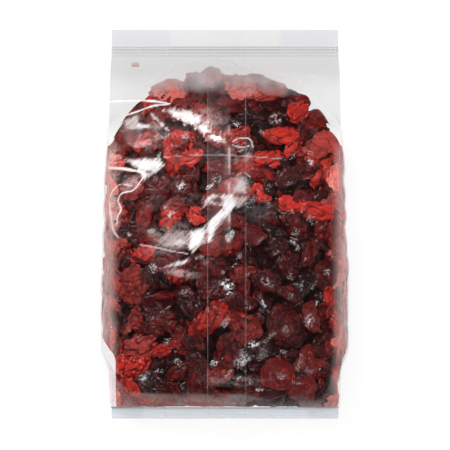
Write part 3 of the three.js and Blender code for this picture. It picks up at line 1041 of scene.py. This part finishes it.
def berry_material(name, valley, ridge, wet, grainy):
    """Sticky wrinkled skin: creases darkened as painted shade, mottled pulp, fine wrinkles and a wet gloss
    over them.
    """
    mat, tree = new_material(name)
    mottle = fleck_noise(tree, MOTTLE_SCALE, 3, 0.8)
    wrinkle = fleck_noise(tree, WRINKLE_SCALE, 2, 1.4)
    pulp = fleck_noise(tree, PULP_SCALE, 2, 0.2)
    crease, tone_and_light = vertex_value(tree, "crease"), vertex_value(tree, "tone_and_light")
    # Painted shade darkens the creases; the vertices' lightness adds own lightness and painted light and
    # shade
    light = sum_node(tree, "MULTIPLY_ADD", crease, -0.7, tone_and_light)
    light = sum_node(tree, "MULTIPLY_ADD", mottle, 1.5, light)
    light = sum_node(tree, "MULTIPLY_ADD", pulp, grainy, light)
    light = sum_node(tree, "SUBTRACT", light, 0.23 + 0.5 * grainy, use_clamp=True)
    broad = bumped(tree, {"Strength": 1.0, "Distance": 0.0003, "Height": wrinkle})
    opaque_surface(tree, {
        "Base Color": two_colours(tree, valley, ridge, light),
        "Roughness": 0.45,
        "Specular IOR Level": 0.08,
        "Coat Weight": wet,
        "Coat Roughness": 0.19,
        "Coat Normal": broad,
        "Subsurface Weight": 0.3,
        "Subsurface Radius": (1.0, 0.15, 0.1),
        "Subsurface Scale": 0.0012,
        "Normal": bumped(tree, {"Strength": 0.6, "Distance": 0.0004, "Height": pulp, "Normal": broad}),
    })
    return mat


def ball(cells):
    """Points and faces of a round ball of one unit, swelled from a cube with cells on each side."""
    bm = bmesh.new()
    bmesh.ops.create_cube(bm, size=2)
    bmesh.ops.subdivide_edges(bm, edges=bm.edges, cuts=cells - 1, use_grid_fill=True)
    bmesh.ops.triangulate(bm, faces=bm.faces)
    points = np.tan(np.array([v.co for v in bm.verts]) * (math.pi / 4))
    faces = np.array([[v.index for v in f.verts] for f in bm.faces])
    bm.free()
    return points / np.linalg.norm(points, axis=1)[:, None], faces


def ridge_lines(values, sharpness):
    """1 along the lines where the noise is zero, falling off to both sides."""
    return np.maximum(0, 1 - sharpness * np.abs(values))


def berry_form(shape, variant, points):
    """One dried berry about two units long, made from a ball's points: its points and creases."""
    shift = np.array([7.3, 3.1, 5.7]) * (variant + 1) + 2.3 * list(SHAPES).index(shape.name)
    around = math.pi * ((variant * 0.618) % 1)
    dx, dy, dz = points.T
    flat = np.hypot(dx, dy)
    corner = (np.abs(dx) ** shape.corner + np.abs(dy) ** shape.corner) ** (1 / shape.corner)
    square = flat / np.maximum(corner, 0.01)
    uneven = 1 + 0.24 * noise_values(points * (1.3, 1.3, 0.5) + shift)
    x = dx * square * uneven
    y = dy * square * uneven * shape.width
    z = np.sign(dz) * shape.thick * np.sqrt(np.maximum(0, 1 - flat ** shape.rim))
    z = z - np.where(dz > 0, shape.hollow, 0.3 * shape.hollow) * (1 - flat * flat) * np.sign(dz)

    warp = 0.3 * noise_values(np.stack([x, y, z], axis=-1) * 1.4 - shift)
    slant = around * 0.35
    across = (x * math.sin(slant) + y * math.cos(slant) + warp) * shape.across
    along = (x * math.cos(slant) - y * math.sin(slant) + warp) * shape.along
    wrinkle = ridge_lines(noise_values(np.stack([along, across, z * 3], axis=-1) + shift), 3.0)
    creased = noise_values(np.stack([x * 1.3 + warp, y * 2.2, z * 1.2], axis=-1) - shift * 2)
    fold = ridge_lines(creased, 3.6) ** 2
    pits = noise_values(np.stack([x, y, z], axis=-1) * 9 + shift)

    normal = np.stack([dx, dy / shape.width, dz / shape.thick], axis=-1)
    normal /= np.linalg.norm(normal, axis=1)[:, None]
    push = -shape.fold * fold - shape.wrinkle * wrinkle + 0.025 * pits
    placed = np.stack([x, y, z], axis=-1) + normal * push[:, None]
    bend = placed[:, 0] * math.cos(around) + placed[:, 1] * math.sin(around)
    side = 1 if variant % 2 else -1
    placed[:, 2] += side * shape.curl * (bend * bend - 0.3)
    return placed, clamp01(0.8 * fold + 0.5 * wrinkle - 0.35 * pits)


def berry_forms():
    """Every shape in every variant and detail: points, faces, creases and height of the top."""
    forms = {}
    for detail, cells in CELLS.items():
        points, faces = ball(cells)
        for name, values in SHAPES.items():
            shape = SimpleNamespace(name=name, **values)
            for variant in range(VARIANTS):
                placed, creases = berry_form(shape, variant, points)
                forms[name, variant, detail] = (placed, faces, creases, placed[:, 2].max())
    return forms


def axes_from(along, out):
    return np.stack([along, np.cross(out, along), out], axis=1)


def upright_to(along, out):
    """The direction along, turned square to out."""
    along = along - out * np.dot(along, out)
    return along / np.linalg.norm(along)


def berry_axes(s, y, turn, tilt_a, tilt_b):
    """Where a berry lies against the film, and its own axes there: along, across and out."""
    step = 0.5
    s2 = np.array([s, s + step, s])
    y2 = np.array([y, y, y + step])
    x, z = loop_point(s2, levels_at(y2))
    along_s = np.array([x[1] - x[0], 0, z[1] - z[0]]) / step
    along_y = np.array([x[2] - x[0], step, z[2] - z[0]]) / step
    out = np.cross(along_s, along_y)
    out /= np.linalg.norm(out)
    side = along_s / np.linalg.norm(along_s)
    up = np.cross(out, side)
    along = math.cos(turn) * side + math.sin(turn) * up
    out = out + tilt_a * along + tilt_b * np.cross(out, along)
    out /= np.linalg.norm(out)
    return np.array([x[0], y, z[0]]), axes_from(upright_to(along, out), out)


TABLE_STEP = 0.5
TABLE_X = np.arange(-60, 60.1, TABLE_STEP)
TABLE_Z = np.arange(0, 45.1, TABLE_STEP)
CORNER_REACH = {-1: 48.5, 1: 52.3}  # how far out berries lie at the bottom corners, left and right


def film_table(steps, places, values):
    """Values on the film at even steps of a place, one row for each film row."""
    table = np.empty((len(places), len(steps)))
    for i in range(len(places)):
        order = np.argsort(places[i])
        table[i] = np.interp(steps, places[i][order], values[i][order])
    return table


def look_up(table, steps, row, value):
    """Values of a table at fractions of its rows and steps."""
    column = np.clip((value - steps[0]) / TABLE_STEP, 0, len(steps) - 1.001)
    row0, col0 = np.minimum(row.astype(int), len(table) - 2), column.astype(int)
    a = mix(table[row0, col0], table[row0, col0 + 1], column - col0)
    b = mix(table[row0 + 1, col0], table[row0 + 1, col0 + 1], column - col0)
    return mix(a, b, row - row0)


def press_under(value, limit, soft):
    """The value held softly below the limit."""
    return limit - soft * np.logaddexp(0, (limit - value) / soft)


def keep_inside(points, front, back):
    """Presses berries flat where they would come through the film."""
    soft = 0.3
    room = 0.25
    rows = front.y[:, 0]
    s = back.s[0]
    row = np.interp(points[:, 1], rows, np.arange(len(rows)))
    under = np.abs(s) >= BACK_START
    ceiling = look_up(film_table(TABLE_X, front.x, front.z), TABLE_X, row, points[:, 0])
    points[:, 2] = press_under(points[:, 2], ceiling - room, soft)
    table = look_up(film_table(TABLE_X, back.x[:, under], back.z[:, under]), TABLE_X, row, points[:, 0])
    points[:, 2] = -press_under(-points[:, 2], -table - room, soft)
    for side in (-1, 1):
        corner = CORNER_REACH[side] + 8 * smooth((points[:, 1] + 62) / 16)
        gusset = (s * side > 0) & (np.abs(s) <= BACK_START)
        walls = film_table(TABLE_Z, back.z[:, gusset], back.x[:, gusset] * side)
        wall = np.minimum(look_up(walls, TABLE_Z, row, points[:, 2]) - 2 * room, corner)
        points[:, 0] = side * press_under(points[:, 0] * side, wall, soft)
    end_low = BODY_LOW + 2 * room
    points[:, 1] = -press_under(-points[:, 1], -end_low, soft)
    uneven = 2 + 2 * noise_values(points / 7)
    points[:, 1] = press_under(points[:, 1], heap_limit(points[:, 0]) + uneven, 3 * soft)
    return points


def join_berries(name, rows, front, back, mat):
    """One mesh of many berries: each row is a form, a centre, axes, a half length and a lightness, which
    holds both the berry's own lightness and painted light and shade.
    """
    points, faces, creases, tone_and_light_values = [], [], [], []
    count = 0
    for form, centre, axes, half, tone_and_light in rows:
        form_points, form_faces, form_creases, form_top = form
        points.append(centre + (form_points * half) @ axes.T)
        faces.append(form_faces + count)
        creases.append(form_creases)
        tone_and_light_values.append(np.full(len(form_points), tone_and_light))
        count += len(form_points)
    placed = keep_inside(np.concatenate(points), front, back)
    triangles = np.concatenate(faces)
    mesh = bpy.data.meshes.new(name)
    mesh.vertices.add(len(placed))
    mesh.loops.add(triangles.size)
    mesh.polygons.add(len(triangles))
    mesh.vertices.foreach_set("co", (placed * MM).ravel())
    mesh.loops.foreach_set("vertex_index", triangles.ravel())
    mesh.polygons.foreach_set("loop_start", np.arange(0, triangles.size, 3))
    mesh.update(calc_edges=True)
    mesh.validate()
    add_value(mesh, "crease", np.concatenate(creases))
    add_value(mesh, "tone_and_light", np.concatenate(tone_and_light_values))
    mesh.materials.append(mat)
    return new_piece(name, mesh)


FILLER_DARTS = 5000
FILLER_SPACING = 7.2
FILLER_DEPTH = (5, 8.5)
FILLER_SIZE = (0.85, 1.2)
FILLER_TOP_GAP = 2
FILLER_DARKEST = 0.42  # the share of light kinds that is left out of the deeper layers, as painted shade deep in the heap


def filler_places():
    """Places of berries one layer deeper, which show in the gaps."""
    found = scatter(SEED + 2, FILLER_DARTS, 2 * BACK_START, FILLER_TOP_GAP, FILLER_SPACING)
    return [
        SimpleNamespace(s=s, y=y, turn=math.pi * turn, size=mix(*FILLER_SIZE, size),
                        depth=mix(*FILLER_DEPTH, depth))
        for s, y, turn, size, depth in found
    ]


def pick_kind(random, s, y, darkest=0.0):
    """A kind of berry, more often a light one along the sides, at the top and ends of the heap and where
    the film stands loose, as painted light there; darkest leaves the lightest kinds out, as painted shade
    deep in the heap.
    """
    at_side = smooth((abs(s) - 45) / 4) * smooth((84 - abs(s)) / 10)
    at_top = smooth((y - 48) / 10)
    at_end = smooth((-76 - y) / 4) * smooth((20 - s) / 20)
    light = max(at_side, at_top, at_end)
    draw = next(random) * (1 - 0.25 * looseness(s, y))
    pick = mix(darkest + (1 - darkest) * draw, 0.3 * draw - 0.08, light)
    pick = mix(pick, 0.22 * draw - 0.15, smooth((y - 55) / 5))
    return list(KINDS)[sum(pick > share for share in SHARES)]


def painted_heap_light(s, y):
    """Painted light and shade on the heap: lighter at its top and sides, where the film stands loose and
    in the middle right, darker towards its lower right.
    """
    light = 0.35 * smooth((y - 50) / 12) + 0.4 * smooth((abs(s) - 45) / 4) + 0.2 * looseness(s, y)
    middle_right = 0.2 * smooth((s - 5) / 15) * smooth((y + 8) / 16)
    return light + middle_right - 0.42 * smooth((s + 35) / 50) * smooth((-5 - y) / 30)


def pick_form(forms, random, kind, shape, detail):
    shapes = KIND_SHAPES[kind]
    pick = shapes[int(len(shapes) * next(random))]
    variant = int(VARIANTS * next(random))
    return forms[shape or pick, variant, detail]


END_STEP = 10.5
END_REACH = 44
END_HEIGHTS = (8, 18)
END_LEAN = (0, -0.85, 0.53)  # the way that the berries at the bottom end face
END_GAP = 3.4  # how far from the end of the body their middles lie


def add_end_berries(rows, forms):
    """Berries that lie against the bottom end of the bag."""
    random = random_numbers(SEED + 3)
    out = np.array(END_LEAN)
    side = np.array([1.0, 0, 0])
    for height in END_HEIGHTS:
        for x in np.arange(-END_REACH, END_REACH + 0.1, END_STEP):
            kind = pick_kind(random, x, BODY_LOW)
            form = pick_form(forms, random, kind, None, "middle")
            turn = 0.5 * math.pi * (next(random) - 0.5)
            along = math.cos(turn) * side + math.sin(turn) * np.cross(out, side)
            centre = np.array([x + 3 * next(random), BODY_LOW + END_GAP, height + 3 * next(random)])
            tone_and_light = 0.1 + 0.3 * next(random)
            rows[kind].append((form, centre, axes_from(along, out), BERRY_LENGTH / 2, tone_and_light))


MIDDLE_ROWS = (38, 44.5, 51, 57.5)
MIDDLE_STEP = 6.5  # from one layer of them to the next
MIDDLE_CLEAR = (4, 6)  # how far their middles stay from the back and from the front


def add_middle_berries(rows, forms):
    """Berries between the front and back layers, where the heap thins towards the header."""
    random = random_numbers(SEED + 4)
    for y in MIDDLE_ROWS:
        level = levels_at(np.array([y]))
        for x in np.arange(-END_REACH, END_REACH + 0.1, END_STEP):
            if y > heap_top(x) - BERRY_LENGTH / 2:
                continue
            low = float(level.back[0]) + MIDDLE_CLEAR[0]
            high = float(loop_point(np.array([x]), level)[1][0]) - MIDDLE_CLEAR[1]
            for height in np.arange(low, high, MIDDLE_STEP):
                kind = pick_kind(random, x, y, FILLER_DARKEST)
                form = pick_form(forms, random, kind, None, "coarse")
                out = np.array([next(random) - 0.5, next(random) - 0.5, 1])
                out /= np.linalg.norm(out)
                turn = math.pi * next(random)
                along = upright_to(np.array([math.cos(turn), math.sin(turn), 0]), out)
                centre = np.array([x + 3 * next(random), y + 3 * next(random), height])
                tone_and_light = 0.3 * next(random) - 0.1
                rows[kind].append((form, centre, axes_from(along, out), BERRY_LENGTH / 2, tone_and_light))


# How much the berries tilt: those deeper in, those against the film and the noted ones
FILLER_TILT = 1.6
FILM_TILT = 1.3
NOTED_TILT = 0.4
PRESSED_OUT = 0.4  # how far berries reach past the middle of their lump, where the film presses them flat


def add_filler_berries(rows, forms, random):
    for berry in filler_places():
        kind = pick_kind(random, berry.s, berry.y, FILLER_DARKEST)
        form = pick_form(forms, random, kind, None, "coarse")
        tilt_a, tilt_b = next(random) - 0.5, next(random) - 0.5
        # Deeper berries get a darker lightness, as painted shade in the gaps between the front ones
        tone_and_light = 0.3 * next(random) - 0.35
        half = BERRY_LENGTH / 2 * berry.size
        y = min(max(berry.y, BODY_LOW + 0.5 * half), float(heap_limit(berry.s)) - 3)
        base, axes = berry_axes(berry.s, y, berry.turn, FILLER_TILT * tilt_a, FILLER_TILT * tilt_b)
        rows[kind].append((form, base - axes[:, 2] * berry.depth, axes, half, tone_and_light))


def add_film_berries(rows, forms, random, berries):
    """Berries that lie against the film, with the finest forms on the front."""
    for berry in berries:
        kind = pick_kind(random, berry.s, berry.y)
        kind = berry.kind or kind
        on_back = abs(berry.s) > BACK_START
        detail = "coarse" if on_back else "fine" if abs(berry.s) < HALF_FACE + 3 else "middle"
        form = pick_form(forms, random, kind, berry.shape, detail)
        tilt_a, tilt_b = next(random) - 0.5, next(random) - 0.5
        # The berry's own lightness at random, with the heap's painted light and shade added
        tone_and_light = 0.3 * next(random) - 0.1 + float(painted_heap_light(berry.s, berry.y))
        tilt = NOTED_TILT if berry.kind else FILM_TILT
        half = BERRY_LENGTH / 2 * berry.size
        reach_y = half * max(0.5, abs(math.sin(berry.turn)))
        y = min(max(berry.y, BODY_LOW + 0.8 * reach_y), float(heap_limit(berry.s)) + 3 - reach_y)
        base, axes = berry_axes(berry.s, y, berry.turn, tilt * tilt_a, tilt * tilt_b)
        form_top = form[3]
        sunk = half * form_top + (0 if on_back else SAG) - berry.lump + berry.under
        rows[kind].append((form, base - axes[:, 2] * (sunk - PRESSED_OUT), axes, half, tone_and_light))


def make_berries(berries, front, back):
    random = random_numbers(SEED + 1)
    forms = berry_forms()
    rows = {kind: [] for kind in KINDS}
    add_end_berries(rows, forms)
    add_middle_berries(rows, forms)
    add_filler_berries(rows, forms, random)
    add_film_berries(rows, forms, random, berries)
    for kind in KINDS:
        mat = berry_material(kind + " berries", **KINDS[kind])
        piece = join_berries("berries_" + kind, rows[kind], front, back, mat)
        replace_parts(piece, "bag")


CORE_REACH = (44, 64, 11)
CORE_CENTRE = (0, -10, 18)
CORE_LUMPS = 0.06
CORE_SQUARENESS = 4
# A near-black kind for the core, as painted shade deep in the heap
DEEP_KIND = dict(valley=(0.006, 0.001, 0.001, 1), ridge=(0.04, 0.004, 0.004, 1), wet=0.3, grainy=0.5)


def make_core():
    """Dark berries deep in the heap, as one lumpy body, painted near black as the shade in there."""
    bm = bmesh.new()
    bmesh.ops.create_icosphere(bm, subdivisions=5, radius=1)
    for vert in bm.verts:
        d = vert.co.normalized()
        square = sum(abs(d[i]) ** CORE_SQUARENESS for i in range(3)) ** (-1 / CORE_SQUARENESS)
        lump = 1 + CORE_LUMPS * noise.noise(d * 9)
        vert.co = Vector([d[i] * square * lump * CORE_REACH[i] + CORE_CENTRE[i] for i in range(3)]) * MM
    mesh = finished_mesh(bm, "berries_deep")
    mesh.materials.append(berry_material("deep berries", **DEEP_KIND))
    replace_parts(new_piece("berries_deep", mesh), "bag")


CRUMB_PLACE = (-40, 71.6)
CRUMB_SIZE = (1.9, 0.85, 0.35)
CRUMB_DARK = (0.95, 0.66, 0.55, 1)
CRUMB_LIGHT = (1.0, 0.84, 0.76, 1)
CRUMB_GRAIN = 1200


def crumb_material():
    mat, tree = new_material("crumb")
    colour = two_colours(tree, CRUMB_DARK, CRUMB_LIGHT, fleck_noise(tree, CRUMB_GRAIN, 2, 0))
    opaque_surface(tree, {"Base Color": colour, "Roughness": 0.6})
    return mat


def make_crumb():
    """A pale crumb of berry between the two panels, under the top seal."""
    level = levels_at(np.array([CRUMB_PLACE[1]]))
    height = float(mix(level.middle, level.front, 0.4)[0])
    bm = bmesh.new()
    bmesh.ops.create_icosphere(bm, subdivisions=4, radius=1)
    for vert in bm.verts:
        d = vert.co.normalized()
        uneven = 1 + 0.5 * noise.noise(d * 1.6)
        vert.co = Vector([d[i] * uneven * CRUMB_SIZE[i] for i in range(3)])
        vert.co += Vector((CRUMB_PLACE[0], CRUMB_PLACE[1], height))
        vert.co *= MM
    mesh = finished_mesh(bm, "crumb")
    mesh.materials.append(crumb_material())
    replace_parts(new_piece("crumb", mesh), "bag")


# Stage, in metres
FLOOR_SIZE = 4
FLOOR_PAINT = {
    "Base Color": (0.24, 0.24, 0.24, 1),
    "Roughness": 1.0,
    "Specular IOR Level": 0.0,
    "Emission Color": (1.0, 1.0, 1.0, 1),
    "Emission Strength": 0.8,
}
SKY_STRENGTH = 0.45
SKY_STOPS = ((0.0, (1.0, 1.0, 1.0, 1)), (0.28, (0.8, 0.8, 0.8, 1)), (0.55, (0.012, 0.012, 0.014, 1)))
LAMPS = (  # name, place, what it aims at, width and length, power
    ("window", (-0.33, 0.43, 0.72), (-0.01, 0.02, 0.03), (0.36, 0.28), 3.8),
    ("side", (0.34, -0.2, 0.8), (0.01, -0.01, 0.03), (0.26, 0.16), 0.9),
    ("overhead", (0.1, 0.1, 1.7), (0, 0, 0), (1.4, 1.4), 22),
)
CAMERA_PLACE = (0, -0.0004, 1.3)
SENSOR_WIDTH = 36
SEEN_WIDTH = 0.2013  # how much the picture shows across, at the height SEEN_HEIGHT
SEEN_HEIGHT = 0.02


def make_floor():
    bm = bmesh.new()
    bmesh.ops.create_grid(bm, x_segments=2, y_segments=2, size=FLOOR_SIZE)
    mesh = finished_mesh(bm, "floor")
    floor = bpy.data.objects.new("floor", mesh)
    bpy.context.scene.collection.objects.link(floor)
    mat, tree = new_material("pale floor")
    opaque_surface(tree, FLOOR_PAINT)
    mesh.materials.append(mat)


def make_world():
    """Bright low down all round and dark overhead, so that the flat film mirrors little."""
    world = bpy.data.worlds.new("studio")
    bpy.context.scene.world = world
    tree = empty_nodes(world)
    place = node(tree, "TexCoord", {}).outputs["Generated"]
    height = node(tree, "SeparateXYZ", {0: place}).outputs["Z"]
    ramp = node(tree, "ValToRGB", {"Fac": height})
    glow = node(tree, "Background", {"Color": ramp.outputs["Color"], "Strength": SKY_STRENGTH})
    node(tree, "OutputWorld", {"Surface": glow.outputs[0]})
    stops = ramp.color_ramp.elements
    stops.new(SKY_STOPS[1][0])
    for stop, (position, colour) in zip(stops, SKY_STOPS):
        stop.position = position
        stop.color = colour


def make_lights():
    """A window and a side lamp that the film mirrors, and an overhead one that it doesn't."""
    for name, place, aim, size, power in LAMPS:
        data = bpy.data.lights.new(name, "AREA")
        data.shape = "RECTANGLE"
        data.size, data.size_y = size
        data.energy = power
        lamp = bpy.data.objects.new(name, data)
        lamp.location = place
        lamp.rotation_euler = (Vector(aim) - Vector(place)).to_track_quat("-Z", "Y").to_euler()
        lamp.visible_glossy = name != "overhead"
        bpy.context.scene.collection.objects.link(lamp)


def make_camera():
    camera = bpy.data.cameras.new("camera")
    camera.sensor_width = SENSOR_WIDTH
    camera.lens = SENSOR_WIDTH * (CAMERA_PLACE[2] - SEEN_HEIGHT) / SEEN_WIDTH
    view = bpy.data.objects.new("camera", camera)
    view.location = CAMERA_PLACE
    bpy.context.scene.collection.objects.link(view)
    bpy.context.scene.camera = view


def main():
    berries = berry_places()
    note_berries(berries)
    rows = film_rows()
    clear_film = film_material()
    front = make_front(rows, berries, clear_film)
    back = make_back(rows, berries, clear_film)
    make_seam(rows, berries, clear_film)
    make_berries(berries, front, back)
    make_core()
    make_crumb()
    make_floor()
    make_world()
    make_lights()
    make_camera()
    bpy.context.scene.view_settings.view_transform = "Standard"


main()
